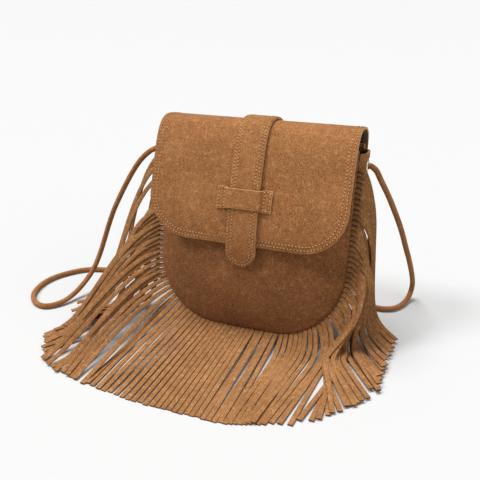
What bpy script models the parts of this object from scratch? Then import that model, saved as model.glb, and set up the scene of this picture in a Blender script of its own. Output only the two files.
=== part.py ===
"""Fringed suede crossbody bag, standing on its soft bottom with the flap closed.

Metres, +Z up. The bag's front faces -Y, and the origin is the middle of its underside.
Every sheet of suede is a thin shell of its own, sewn edge to edge with the next one.
"""
import math

import bmesh
import bpy
from mathutils import Vector

MM = 0.001

# --- driving dimensions ---------------------------------------------------------------
SUEDE = 1.6 * MM            # thickness of one layer of suede
FACING = 1.0 * MM           # thickness of the thin facing under the flap
LINING = 0.8 * MM           # thickness of the cloth lining
GAP = 0.4 * MM              # air left between two sheets that touch

HALF_WIDTH = 102 * MM       # the panels' half width at their straight sides
CORNER = 71 * MM            # radius of the panels' round lower corners
SEAM_FOOT = 8 * MM          # height of the lowest point of both seams
FRONT_TOP = 200 * MM        # height of the mouth at the front
SIDE_TOP = 196 * MM         # height of the gusset's hem
BACK_TOP = 200 * MM         # height of the back panel
LINING_TOP = 194 * MM       # the lining ends a little below the hem
LINING_INSET = 3 * MM       # how far the lining keeps inside the panels' outline

ORIGIN_SHIFT = -41.5 * MM   # brings the middle of the underside to Y = 0
FRONT_FOOT = 11 * MM        # front seam at its foot, before the shift
FRONT_LEAN = 0.232          # the front seam leans back 13 degrees
BACK_FOOT = 72 * MM         # back seam at its foot, before the shift
BACK_LEAN = 0.055           # the back seam leans back 3 degrees
SEAM_ROOM = 2.4 * MM        # what the fringe band takes between front panel and gusset

BELLY = 28 * MM             # how far the stuffed front panel stands out of its seam
BELLY_RISE = 40 * MM        # the height over which the belly swells
SIDE_BULGE = 6 * MM         # how far the gusset stands out between its seams
FOOT_BULGE = 8 * MM         # how far it stands out at the bottom, which is its flat foot

FLAP_HALF = 104 * MM        # the flap's half width
FLAP_CORNER = 44 * MM       # radius of the flap's round lower corners
TAB_HALF = 15.7 * MM        # half width of the closing tab and radius of its tip
TAB_THICK = 2.6 * MM        # two layers of suede, sewn together
KEEPER_HEIGHT = 152.5 * MM    # height of its middle above the floor
KEEPER_BRIDGE = 6 * MM      # how far the keeper's bridge stands above the flap
KEEPER_THICK = 1.3 * MM
SNAP_RADIUS = 6 * MM        # the two discs of the magnetic snap behind the tab's tip
SNAP_THICK = 1.2 * MM
SNAP_HEIGHT = 98 * MM

STRIP_PITCH = 5.1 * MM      # the fringe is cut every 5.1 mm
STRIP_THICK = 1.0 * MM
CURTAIN_THICK = 3 * MM      # several strips lie over each other where they hang
STRIP_LENGTH = 148 * MM     # length of the strips along the bottom seam
SPLAY_LEFT = math.radians(62)   # how far the outermost laid strips turn outwards
SPLAY_RIGHT = math.radians(36)
FRINGE_TOP = 186 * MM       # the fringe band ends a little below the mouth
LAID_TOP = 46 * MM          # strips sewn lower than this lie out in front, the rest hang

CORD_RADIUS = 3.0 * MM      # rolled suede cord of the shoulder strap
EYELET = Vector((108, 68, 182)) * MM
KNOT_RADIUS = 7 * MM        # the stopper knots inside, which keep the strap in its eyelets
KNOT_REACH = 12.4 * MM      # from the eyelet's face to the knot's middle

SUEDE_COLOUR = (0.36, 0.15, 0.055, 1)
LINING_COLOUR = (0.13, 0.07, 0.04, 1)
BRASS_COLOUR = (0.80, 0.62, 0.36, 1)

# Side view of the flap's outer face, from its sewn end at the back over the top and down.
FLAP_PROFILE = [(89.5, 192), (89.5, 204), (86.3, 212), (77.5, 217.8), (67, 220.8), (57, 221.7),
                (47, 220.2), (39, 215.5), (32.5, 207.5), (26.5, 196.5), (18, 175), (9, 150),
                (4, 132), (1.5, 118), (0.5, 107)]
# Side view of the tab's outer face, which follows the flap a few millimetres above it.
TAB_PROFILE = [(92.6, 195), (92.8, 204), (89.5, 213), (80, 220.2), (68, 224.4), (57, 225.5),
               (46, 224), (37, 218.5), (29, 209), (22.5, 197), (14, 176), (5, 150),
               (0, 132), (-2.5, 118), (-3.5, 106), (-3, 95), (-1, 84.5)]
# The strap's route between the two eyelets, chosen by hand: right side, behind, left loop.
STRAP_ROUTE = [(112, 68, 182), (117, 70, 177.5), (121.5, 75, 167), (131, 88, 143),
               (142, 106, 109), (149, 121, 80), (154.5, 136, 54), (158, 150.5, 30),
               (158.5, 155.5, 15.5), (156, 146, 5.4), (149.5, 126.5, 3.4), (138, 114.5, 3.4),
               (118, 113.5, 3.4), (60, 128, 3.4), (0, 133, 3.4), (-70, 125, 3.4),
               (-140, 105, 3.4), (-190, 93, 3.4), (-222, 91, 3.4), (-247, 82, 3.4),
               (-267, 58, 3.4), (-274, 32, 3.4), (-268, 4, 3.4), (-252, -15, 3.4),
               (-234, -19, 3.6), (-221, -4, 4.5), (-215, 18, 10), (-209, 40, 24),
               (-203, 50, 42), (-196, 54, 63), (-187, 56, 88), (-178, 58, 109),
               (-162, 61, 139), (-147, 63, 162), (-134, 65, 175), (-122, 67, 181),
               (-112, 68, 182)]


# --- helpers --------------------------------------------------------------------------
def empty_scene():
    for item in list(bpy.data.objects):
        bpy.data.objects.remove(item, do_unlink=True)


def new_collection(name):
    collection = bpy.data.collections.new(name)
    bpy.context.scene.collection.children.link(collection)
    return collection


def suede_like(name, colour, roughness=0.95, metallic=0.0):
    material = bpy.data.materials.new(name)
    material.use_nodes = True
    shader = material.node_tree.nodes["Principled BSDF"]
    shader.inputs["Base Color"].default_value = colour
    shader.inputs["Roughness"].default_value = roughness
    shader.inputs["Metallic"].default_value = metallic
    return material


def from_bmesh(name, bm, collection, material=None):
    """Make an object of a bmesh, shifted so that the underside's middle is the origin."""
    bmesh.ops.translate(bm, verts=bm.verts, vec=(0, ORIGIN_SHIFT, 0))
    mesh = bpy.data.meshes.new(name)
    bm.to_mesh(mesh)
    bm.free()
    thing = bpy.data.objects.new(name, mesh)
    collection.objects.link(thing)
    if material:
        mesh.materials.append(material)
    mesh.shade_smooth()
    mesh.set_sharp_from_angle(angle=math.radians(40))
    return thing


def grid(bm, rows):
    """Join rows of points into a sheet of quads."""
    verts = [[bm.verts.new(point) for point in row] for row in rows]
    for upper, lower in zip(verts, verts[1:]):
        for i in range(len(upper) - 1):
            bm.faces.new((upper[i], lower[i], lower[i + 1], upper[i + 1]))
    return verts


def thicken(thing, thickness):
    shell = thing.modifiers.new("thickness", 'SOLIDIFY')
    shell.thickness = thickness
    shell.offset = -1


def sheet(name, rows, thickness, collection, material):
    """A closed shell whose outer face is the given grid and whose thickness goes inwards."""
    bm = bmesh.new()
    grid(bm, rows)
    thing = from_bmesh(name, bm, collection, material)
    thicken(thing, thickness)
    return thing


def cut(thing, cutter):
    hole = thing.modifiers.new("hole_" + cutter.name, 'BOOLEAN')
    hole.operation = 'DIFFERENCE'
    hole.object = cutter


def join(thing, other):
    both = thing.modifiers.new("with_" + other.name, 'BOOLEAN')
    both.operation = 'UNION'
    both.object = other


def hide_cutter(thing):
    thing.hide_render = True
    thing.display_type = 'WIRE'


def spline(points):
    """A smooth curve (Catmull-Rom) through points in millimetres, with its running length."""
    points = [Vector(point) * MM for point in points]
    points = [2 * points[0] - points[1]] + points + [2 * points[-1] - points[-2]]
    dense = []
    for a, b, c, d in zip(points, points[1:], points[2:], points[3:]):
        for step in range(12):
            t = step / 12
            dense.append(0.5 * (2 * b + (c - a) * t + (2 * a - 5 * b + 4 * c - d) * t * t
                                + (3 * b - a - 3 * c + d) * t ** 3))
    dense.append(points[-2])
    lengths = [0]
    for a, b in zip(dense, dense[1:]):
        lengths.append(lengths[-1] + (b - a).length)
    return dense, lengths


def along(curve, distance):
    """The point at a distance along a spline, and the direction there."""
    dense, lengths = curve
    distance = min(max(distance, 0), lengths[-1])
    i = max(k for k in range(len(dense) - 1) if lengths[k] <= distance)
    step = dense[i + 1] - dense[i]
    return dense[i] + step * ((distance - lengths[i]) / step.length), step.normalized()


# --- the panels' outline --------------------------------------------------------------
def front_seam(z):
    return FRONT_FOOT + (z - SEAM_FOOT) * FRONT_LEAN


def back_seam(z):
    return BACK_FOOT + (z - SEAM_FOOT) * BACK_LEAN


def outline(top, corner_steps, side_steps, inset=0.0):
    """Right half of the U outline from foot to top: (x, z, outward x, outward z)."""
    middle_x, middle_z, radius = HALF_WIDTH - CORNER, SEAM_FOOT + CORNER, CORNER - inset
    points = []
    for step in range(corner_steps + 1):
        angle = math.pi / 2 * step / corner_steps
        out_x, out_z = math.sin(angle), -math.cos(angle)
        points.append((middle_x + radius * out_x, middle_z + radius * out_z, out_x, out_z))
    for step in range(1, side_steps + 1):
        z = middle_z + (top - middle_z) * step / side_steps
        points.append((HALF_WIDTH - inset, z, 1, 0))
    return points


def whole_outline(half, foot_steps=3):
    """The U from the left top round the foot to the right top."""
    left = [(-x, z, -out_x, out_z) for x, z, out_x, out_z in reversed(half)]
    foot_x, foot_z = half[0][0], half[0][1]
    foot = [(foot_x * (2 * step / foot_steps - 1), foot_z, 0, -1) for step in range(1, foot_steps)]
    return left + foot + half


def belly(z, across):
    """How far the front panel stands out of its seam; across runs from -1 to 1."""
    height = max(z - SEAM_FOOT, 0)
    out = BELLY * (1 - math.exp(-height / BELLY_RISE)) - max(z - 150 * MM, 0) * 0.18
    return out * max(math.cos(across * math.pi / 2), 0) ** 0.8


def panel_rows(depth, top, columns, inset=0.0, corner_steps=7, side_steps=5):
    """Rows from the top down; depth(z, across) gives each point's Y."""
    rows = []
    for x, z, out_x, out_z in reversed(outline(top, corner_steps, side_steps, inset)):
        steps = [2 * i / columns - 1 for i in range(columns + 1)]
        rows.append([(x * across, depth(z, across), z) for across in steps])
    return rows


def front_depth(z, across):
    return front_seam(z) - SEAM_ROOM - belly(z, across)


def back_depth(z, across):
    swell = 1.0 * MM * math.cos(across * math.pi / 2)
    return back_seam(z) + 0.3 * MM + SUEDE + swell


# --- the pieces of the bag's body -----------------------------------------------------
def make_front_panel(collection, material):
    rows = panel_rows(front_depth, FRONT_TOP, 14)
    return sheet("front_panel", rows, SUEDE, collection, material)


def make_back_panel(collection, material):
    rows = panel_rows(back_depth, BACK_TOP, 10)
    rows = [list(reversed(row)) for row in rows]
    return sheet("back_panel", rows, SUEDE, collection, material)


def gusset_bulge(out_z, share):
    """Stand-out of the gusset: a flat plateau with a round shoulder at each seam."""
    height = SIDE_BULGE + (FOOT_BULGE - SIDE_BULGE) * out_z ** 2
    return height * min(1, 1.5 * math.sin(math.pi * share))


def make_gusset(collection, material):
    rows = []
    shares = (0, 0.11, 0.2323, 0.5, 0.7677, 0.89, 1)
    for x, z, out_x, out_z in whole_outline(outline(SIDE_TOP, 8, 5)):
        front, back = front_seam(z) + 1.2 * MM, back_seam(z)
        row = []
        for share in shares:
            bulge = gusset_bulge(out_z, share)
            if share in (0.2323, 0.5, 0.7677):
                bulge = gusset_bulge(out_z, 0.5)
            row.append((x + out_x * bulge, front + (back - front) * share, z + out_z * bulge))
        rows.append(list(reversed(row)))
    return sheet("gusset", rows, SUEDE, collection, material)


def make_lining(collection, material):
    """The cloth bag inside: a loft of rings, closed at the bottom and open at the mouth."""
    inset, columns = LINING_INSET, 10
    steps = [2 * i / columns - 1 for i in range(columns + 1)]
    shares = (0.25, 0.5, 0.78)
    bm = bmesh.new()
    rings = []
    for x, z, out_x, out_z in reversed(outline(LINING_TOP, 6, 4, inset)):
        front = [(x * s, front_depth(z, s) + inset, z) for s in steps]
        back = [(x * s, back_seam(z) - 1.2 * MM, z) for s in reversed(steps)]
        bulge = gusset_bulge(out_z, 0.5) + 0.4 * MM
        y_front, y_back = front[-1][1], back[0][1]
        right = [(x + out_x * bulge, y_front + (y_back - y_front) * s, z + out_z * bulge)
                 for s in shares]
        left = [(-px, py, pz) for px, py, pz in reversed(right)]
        rings.append([bm.verts.new(point) for point in front + right + back + left])
    for upper, lower in zip(rings, rings[1:]):
        for i in range(len(upper)):
            j = (i + 1) % len(upper)
            bm.faces.new((upper[i], lower[i], lower[j], upper[j]))
    # the floor of the lining: rows that run from its front edge to its back edge
    last = rings[-1]
    n, k = columns + 1, len(shares)
    right, back, left = last[n:n + k], last[n + k:2 * n + k], last[2 * n + k:]
    between = []
    for i in range(k):
        a, b = left[k - 1 - i], right[i]
        inner = [bm.verts.new(a.co.lerp(b.co, (s + 1) / 2)) for s in steps[1:-1]]
        between.append([a] + inner + [b])
    rows = [last[:n]] + between + [list(reversed(back))]
    for near, far in zip(rows, rows[1:]):
        for i in range(columns):
            bm.faces.new((near[i], far[i], far[i + 1], near[i + 1]))
    thing = from_bmesh("lining", bm, collection, material)
    thicken(thing, LINING)
    return thing


# --- the fringe -----------------------------------------------------------------------
def fringe_path(x, z, out_x, out_z):
    """Points of one strip from the seam out, down and along the floor."""
    start = Vector((x, front_seam(z), z)) + Vector((out_x, 0, out_z)) * 0.5 * MM
    splay = SPLAY_LEFT if x < 0 else SPLAY_RIGHT
    turn = math.copysign(splay, x) * min(abs(x) / HALF_WIDTH, 1) ** 2.2
    run = Vector((math.sin(turn), -math.cos(turn), 0))
    floor = STRIP_THICK + 0.2 * MM
    reach = 0.25 * z + 6 * MM
    landing = start + run * (reach + 0.55 * z)
    landing.z = floor
    middle = start + Vector((out_x, 0, 0)) * 3 * MM + run * reach * 0.5
    middle.z = max(z * 0.55, floor + 1.5 * MM)
    used = (middle - start).length + (landing - middle).length
    end = landing + run * (STRIP_LENGTH - used)
    return [start, middle, landing, end]


def make_fringe(collection, cutters, material):
    """One band cut into strips: laid out on the floor in front, hanging at both sides."""
    corner_strips = round(CORNER * math.pi / 2 / STRIP_PITCH)
    foot_strips = round(2 * (HALF_WIDTH - CORNER) / STRIP_PITCH)
    path = whole_outline(outline(FRINGE_TOP, corner_strips, 8), foot_strips)
    bm = bmesh.new()
    inner = []
    outer = []
    for x, z, out_x, out_z in path:
        base = Vector((x, front_seam(z) - 0.4 * MM, z))
        out = Vector((out_x, 0, out_z))
        inner.append(bm.verts.new(base - out * 1.6 * MM))
        rim = 0.5 * MM if z <= LAID_TOP else 5 * MM
        outer.append(bm.verts.new(base + out * rim))
    for i in range(len(path) - 1):
        bm.faces.new((inner[i], outer[i], outer[i + 1], inner[i + 1]))
    for i in range(len(path) - 1):
        if max(path[i][1], path[i + 1][1]) > LAID_TOP:
            continue
        # each length of band between two slits carries one strip, a little narrower
        a, b = path[i], path[i + 1]
        left, right = fringe_path(*a), fringe_path(*b)
        strip = [(outer[i], outer[i + 1])]
        for p, q in zip(left[1:], right[1:]):
            trim = (q - p).normalized() * 0.25 * MM
            strip.append((bm.verts.new(p + trim), bm.verts.new(q - trim)))
        for (p, q), (r, s) in zip(strip, strip[1:]):
            bm.faces.new((p, r, s, q))
    fringe = from_bmesh("fringe", bm, collection, material)
    thicken(fringe, STRIP_THICK)
    for side in (-1, 1):
        curtain = make_curtain(side, cutters)
        join(fringe, curtain)
    return fringe


def make_curtain(side, collection):
    """The strips that hang from one side seam and splay on the floor, as one curved sheet."""
    inner = HALF_WIDTH + 3.2 * MM
    # height, outer X and front Y of each level; the left side splays further than the right
    splay = [(185, 109, 45), (165, 114, 32), (120, 119, 8), (75, 128, -14), (40, 150, -38),
             (16, 184, -66), (4.5, 200, -84)]
    if side > 0:
        splay = [(185, 109, 45), (165, 113, 32), (120, 117, 8), (75, 121, -10), (40, 129, -26),
                 (16, 146, -42), (4.5, 158, -56)]
    rows = []
    for z, outer, front in splay:
        z, outer, front = z * MM, outer * MM, front * MM
        back = front_seam(max(z, SEAM_FOOT)) + 0.3 * MM
        row = []
        for share, reach in ((0, 0), (0.15, 0.6), (0.4, 0.95), (0.7, 1), (1, 0.9)):
            row.append((side * (inner + (outer - inner) * reach), back + (front - back) * share, z))
        rows.append(row if side < 0 else list(reversed(row)))
    name = "curtain_left" if side < 0 else "curtain_right"
    curtain = sheet(name, rows, CURTAIN_THICK, collection, None)
    hide_cutter(curtain)
    return curtain


# --- the flap, its tab and keeper -----------------------------------------------------
def strip_rows(curve, half_width, radius, columns, steps, depth=0.0, tip_angle=90):
    """Rows across a band that follows a side profile and ends in two round corners."""
    total = curve[1][-1]
    straight = total - radius
    stations = [(straight * i / steps, half_width) for i in range(steps + 1)]
    for step in range(1, 7):
        angle = math.radians(tip_angle) * step / 6
        width = half_width - radius + radius * math.cos(angle)
        stations.append((straight + radius * math.sin(angle), width))
    rows = []
    for distance, width in stations:
        point, direction = along(curve, distance)
        normal = Vector((0, direction.z, -direction.y))
        point = point - normal * depth
        row = [(width * (2 * i / columns - 1), point.y, point.z) for i in range(columns + 1)]
        rows.append(row)
    return rows


def side_profile(points):
    return spline([(0, y, z) for y, z in points])


def make_flap(collection, material):
    rows = strip_rows(side_profile(FLAP_PROFILE), FLAP_HALF, FLAP_CORNER, 8, 16)
    return sheet("flap", rows, SUEDE, collection, material)


def make_flap_lining(collection, material):
    rows = strip_rows(side_profile(FLAP_PROFILE), FLAP_HALF, FLAP_CORNER, 8, 16,
                      depth=SUEDE + GAP)
    return sheet("flap_lining", rows, FACING, collection, material)


def make_tab(collection, material):
    rows = strip_rows(side_profile(TAB_PROFILE), TAB_HALF, TAB_HALF, 4, 22, tip_angle=80)
    return sheet("closure_tab", rows, TAB_THICK, collection, material)


def make_keeper(collection, material):
    """A short band sewn to the flap at both ends, with a bridge over the tab."""
    curve = side_profile(FLAP_PROFILE)
    stations = [along(curve, curve[1][-1] * i / 200) for i in range(201)]
    on_front = [pair for pair in stations if pair[0].y < 40 * MM]
    middle, direction = min(on_front, key=lambda pair: abs(pair[0].z - KEEPER_HEIGHT))
    normal = Vector((0, direction.z, -direction.y))
    bridge, flat = KEEPER_BRIDGE, SUEDE + GAP
    columns = [(-28.5, 11, flat), (-22.5, 10.6, flat), (-19.5, 9.6, flat), (-16.8, 9.5, bridge),
               (0, 9.5, bridge + 0.4 * MM), (16.8, 9.5, bridge), (19.5, 9.6, flat),
               (22.5, 10.6, flat), (28.5, 11, flat)]
    rows = []
    for share in (-1, -0.33, 0.33, 1):
        row = []
        for x, half_height, rise in columns:
            point = middle + direction * share * half_height * MM + normal * rise
            row.append((x * MM, point.y, point.z))
        rows.append(row)
    return sheet("keeper", rows, KEEPER_THICK, collection, material)


# --- the metal and the strap ----------------------------------------------------------
def make_eyelet(name, side, collection, material):
    """A turned ring: outer flange, barrel through gusset and lining, inner washer."""
    hole, barrel, flange, washer = 3.7 * MM, 4.5 * MM, 6.8 * MM, 5.8 * MM
    outside, inside = 0.35 * MM, -3.75 * MM
    profile = [(hole, outside + 0.5 * MM), (hole + 0.6 * MM, outside + 1.1 * MM),
               (flange - 0.6 * MM, outside + 0.9 * MM), (flange, outside + 0.3 * MM),
               (flange, outside), (barrel, outside), (barrel, inside), (washer, inside),
               (washer, inside - 0.7 * MM), (hole, inside - 0.7 * MM)]
    bm = bmesh.new()
    verts = [bm.verts.new((radius, 0, height)) for radius, height in profile]
    for a, b in zip(verts, verts[1:] + verts[:1]):
        bm.edges.new((a, b))
    bmesh.ops.spin(bm, geom=list(bm.verts) + list(bm.edges), cent=(0, 0, 0), axis=(0, 0, 1),
                   angle=math.tau, steps=20)
    bmesh.ops.remove_doubles(bm, verts=bm.verts, dist=0.01 * MM)
    bmesh.ops.recalc_face_normals(bm, faces=bm.faces)
    bmesh.ops.rotate(bm, verts=bm.verts, cent=(0, 0, 0),
                     matrix=Vector((0, 0, 1)).rotation_difference(Vector((side, 0, 0))).to_matrix())
    bmesh.ops.translate(bm, verts=bm.verts, vec=(side * EYELET.x, EYELET.y, EYELET.z))
    return from_bmesh(name, bm, collection, material)


def make_eyelet_cutter(name, side, collection):
    bm = bmesh.new()
    bmesh.ops.create_cone(bm, cap_ends=True, segments=20, radius1=4.9 * MM, radius2=4.9 * MM,
                          depth=20 * MM)
    bmesh.ops.rotate(bm, verts=bm.verts, cent=(0, 0, 0),
                     matrix=Vector((0, 0, 1)).rotation_difference(Vector((1, 0, 0))).to_matrix())
    bmesh.ops.translate(bm, verts=bm.verts, vec=(side * EYELET.x, EYELET.y, EYELET.z))
    cutter = from_bmesh(name, bm, collection)
    hide_cutter(cutter)
    return cutter


def make_knot(name, side, collection, material):
    """The stopper knot that keeps the strap's end from slipping through its eyelet."""
    bm = bmesh.new()
    bmesh.ops.create_uvsphere(bm, u_segments=12, v_segments=8, radius=KNOT_RADIUS)
    bmesh.ops.translate(bm, verts=bm.verts,
                        vec=(side * (EYELET.x - KNOT_REACH), EYELET.y, EYELET.z))
    return from_bmesh(name, bm, collection, material)


def make_strap(collection, material):
    curve = spline(STRAP_ROUTE)
    count = 76
    places = [along(curve, curve[1][-1] * i / (count - 1))[0] for i in range(count)]
    end_x = EYELET.x - 5.1 * MM
    places = [Vector((end_x, EYELET.y, EYELET.z))] + places
    places.append(Vector((-end_x, EYELET.y, EYELET.z)))
    data = bpy.data.curves.new("strap", 'CURVE')
    data.dimensions = '3D'
    data.bevel_depth = CORD_RADIUS
    data.bevel_resolution = 2
    data.use_fill_caps = True
    line = data.splines.new('POLY')
    line.points.add(len(places) - 1)
    for point, place in zip(line.points, places):
        point.co = (place.x, place.y + ORIGIN_SHIFT, place.z, 1)
    data.materials.append(material)
    strap = bpy.data.objects.new("strap", data)
    collection.objects.link(strap)
    return strap


def make_snap_half(name, y, collection, material):
    """One half of the magnetic snap behind the tab's tip, a disc with its axis along Y."""
    bm = bmesh.new()
    bmesh.ops.create_cone(bm, cap_ends=True, segments=20, radius1=SNAP_RADIUS,
                          radius2=SNAP_RADIUS, depth=SNAP_THICK)
    bmesh.ops.rotate(bm, verts=bm.verts, cent=(0, 0, 0),
                     matrix=Vector((0, 0, 1)).rotation_difference(Vector((0, -1, 0))).to_matrix())
    bmesh.ops.translate(bm, verts=bm.verts, vec=(0, y, SNAP_HEIGHT))
    return from_bmesh(name, bm, collection, material)


def main():
    empty_scene()
    bag = new_collection("fringed_suede_bag")
    cutters = new_collection("cutters")
    suede = suede_like("suede", SUEDE_COLOUR)
    cloth = suede_like("lining_cloth", LINING_COLOUR)
    brass = suede_like("pale_brass", BRASS_COLOUR, 0.3, 1.0)

    make_front_panel(bag, suede)
    make_back_panel(bag, suede)
    gusset = make_gusset(bag, suede)
    lining = make_lining(bag, cloth)
    for side, word in ((-1, "left"), (1, "right")):
        cutter = make_eyelet_cutter("eyelet_hole_" + word, side, cutters)
        cut(gusset, cutter)
        cut(lining, cutter)
        make_eyelet("eyelet_" + word, side, bag, brass)
        make_knot("strap_knot_" + word, side, bag, suede)
    make_fringe(bag, cutters, suede)
    make_flap(bag, suede)
    make_flap_lining(bag, cloth)
    make_tab(bag, suede)
    make_keeper(bag, suede)
    make_strap(bag, suede)
    make_snap_half("snap_stud", 0.95 * MM, bag, brass)
    make_snap_half("snap_socket", 2.5 * MM, bag, brass)


main()
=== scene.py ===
# %% [markdown]
# # A fringed suede shoulder bag
#
# This lesson dresses a small saddle bag: napped suede panels around a stuffed body, a rounded
# flap held by a tab, a long fringe cut from one band, and a rolled cord for a strap.
# The frame loaded here already holds every piece at its real size and place. Each piece below
# is made again in finer form around that frame and rides on one of its bodies.

# %% Load the frame
import math
import random

import bmesh
import bpy
from mathutils import Matrix, Vector, noise
from mathutils.kdtree import KDTree


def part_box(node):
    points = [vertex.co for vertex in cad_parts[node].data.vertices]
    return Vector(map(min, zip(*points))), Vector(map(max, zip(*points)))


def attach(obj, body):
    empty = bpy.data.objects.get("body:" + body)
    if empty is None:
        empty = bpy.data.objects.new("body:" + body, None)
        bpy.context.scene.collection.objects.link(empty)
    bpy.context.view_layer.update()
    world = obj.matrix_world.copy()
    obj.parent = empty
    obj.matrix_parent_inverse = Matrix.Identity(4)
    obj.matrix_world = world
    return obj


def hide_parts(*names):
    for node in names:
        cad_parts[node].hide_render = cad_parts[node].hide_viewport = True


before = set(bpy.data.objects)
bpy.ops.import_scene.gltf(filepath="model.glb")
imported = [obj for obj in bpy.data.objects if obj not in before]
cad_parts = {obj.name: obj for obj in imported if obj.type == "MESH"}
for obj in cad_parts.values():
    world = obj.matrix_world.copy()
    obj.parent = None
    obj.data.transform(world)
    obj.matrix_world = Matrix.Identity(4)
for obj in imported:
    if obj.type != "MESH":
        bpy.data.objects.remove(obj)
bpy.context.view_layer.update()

MM = 0.001

# %% [markdown]
# ## Driving sizes
#
# A bag maker starts from the front panel's pattern: a U with straight sides and round lower
# corners. The gusset, the lining and the fringe all follow that one outline, so it is read
# from the frame once and everything else is worked out from it.

# %% Sizes shared by several pieces
PANEL_LOW, PANEL_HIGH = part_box("front_panel")
HALF_WIDTH = PANEL_HIGH.x
SEAM_FOOT = PANEL_LOW.z
FRONT_TOP = PANEL_HIGH.z
SIDE_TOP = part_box("gusset")[1].z
CORNER = 71 * MM
FOOT_DEPTH = -30.5 * MM     # Y of the front seam's lowest point
FRONT_LEAN = 0.232          # the front seam leans back 13 degrees
BACK_DEPTH = 30.5 * MM
BACK_LEAN = 0.055
SEAM_ROOM = 2.4 * MM
SUEDE = 1.6 * MM
EYELET = (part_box("eyelet_right")[0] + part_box("eyelet_right")[1]) / 2
EYELET_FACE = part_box("gusset")[1].x
BACK_TOP = 200 * MM
LINING_TOP = 194 * MM
KEEPER_HEIGHT = 152.5 * MM
print("panel", round(2 * HALF_WIDTH / MM), "mm wide, mouth at", round(FRONT_TOP / MM), "mm")


def front_seam(z):
    return FOOT_DEPTH + (z - SEAM_FOOT) * FRONT_LEAN


def back_seam(z):
    return BACK_DEPTH + (z - SEAM_FOOT) * BACK_LEAN


def seam_at(distance):
    """Place on the seam's U, measured from the middle of the foot: x, z, outward x, outward z."""
    side = math.copysign(1, distance)
    run = abs(distance)
    flat, arc = HALF_WIDTH - CORNER, CORNER * math.pi / 2
    if run <= flat:
        return side * run, SEAM_FOOT, 0.0, -1.0
    if run <= flat + arc:
        angle = (run - flat) / CORNER
        out_x, out_z = math.sin(angle), -math.cos(angle)
        return (side * (flat + CORNER * out_x), SEAM_FOOT + CORNER * (1 + out_z),
                side * out_x, out_z)
    return side * HALF_WIDTH, SEAM_FOOT + CORNER + run - flat - arc, side * 1.0, 0.0


def seam_length(top):
    """Length of one half of the U, from the middle of the foot up to a height."""
    return HALF_WIDTH - CORNER + CORNER * math.pi / 2 + top - SEAM_FOOT - CORNER


def smooth_curve(points, steps=16):
    """Catmull-Rom curve through given points, as closely spaced vectors."""
    points = [Vector(p) for p in points]
    points = [2 * points[0] - points[1]] + points + [2 * points[-1] - points[-2]]
    dense = []
    for a, b, c, d in zip(points, points[1:], points[2:], points[3:]):
        for step in range(steps):
            t = step / steps
            dense.append(0.5 * (2 * b + (c - a) * t + (2 * a - 5 * b + 4 * c - d) * t * t
                                + (3 * b - a - 3 * c + d) * t ** 3))
    return dense + [points[-2]]


def even_points(dense, count):
    """Points at equal distances along a chain of points."""
    lengths = [0.0]
    for a, b in zip(dense, dense[1:]):
        lengths.append(lengths[-1] + (b - a).length)
    even, k = [], 0
    for i in range(count):
        want = lengths[-1] * i / (count - 1)
        while k < len(dense) - 2 and lengths[k + 1] < want:
            k += 1
        span = max(lengths[k + 1] - lengths[k], 1e-9)
        even.append(dense[k].lerp(dense[k + 1], (want - lengths[k]) / span))
    return even, lengths[-1]


# %% [markdown]
# ## Floor, light and camera
#
# Suede has no gloss, so it is read by how softly the light turns over it. A broad light overhead
# keeps the top of the flap pale and leaves the belly under the flap in shade; the front panel's
# suede is also painted darker, so part of that shade is painted shade. Two weaker lights, from the
# right and from high on the left, open that shade. All three are suns with a wide disc, because a
# sun lights the pale floor evenly out to the horizon.

# %% Camera, lights and floor
AIM = Vector((-0.0009, -0.0415, 0.113))
AZIMUTH, ELEVATION = math.radians(20.7), math.radians(22.5)
DISTANCE = 0.618
BACKWARD = Vector((math.sin(AZIMUTH) * math.cos(ELEVATION),
                   -math.cos(AZIMUTH) * math.cos(ELEVATION), math.sin(ELEVATION)))


def link(name, data, *materials):
    """Put new data into the scene as an object."""
    thing = bpy.data.objects.new(name, data)
    bpy.context.scene.collection.objects.link(thing)
    for material in materials:
        data.materials.append(material)
    return thing


def close_mesh(bm, name):
    """Turn a finished bmesh into a mesh."""
    mesh = bpy.data.meshes.new(name)
    bm.to_mesh(mesh)
    bm.free()
    return mesh


def make_camera():
    data = bpy.data.cameras.new("camera")
    data.sensor_width = 36
    data.lens = 46.6
    data.clip_start, data.clip_end = 0.01, 50
    camera = link("camera", data)
    camera.location = AIM + BACKWARD * DISTANCE
    camera.rotation_mode = 'QUATERNION'
    camera.rotation_quaternion = (-BACKWARD).to_track_quat('-Z', 'Y')
    bpy.context.scene.camera = camera


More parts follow.
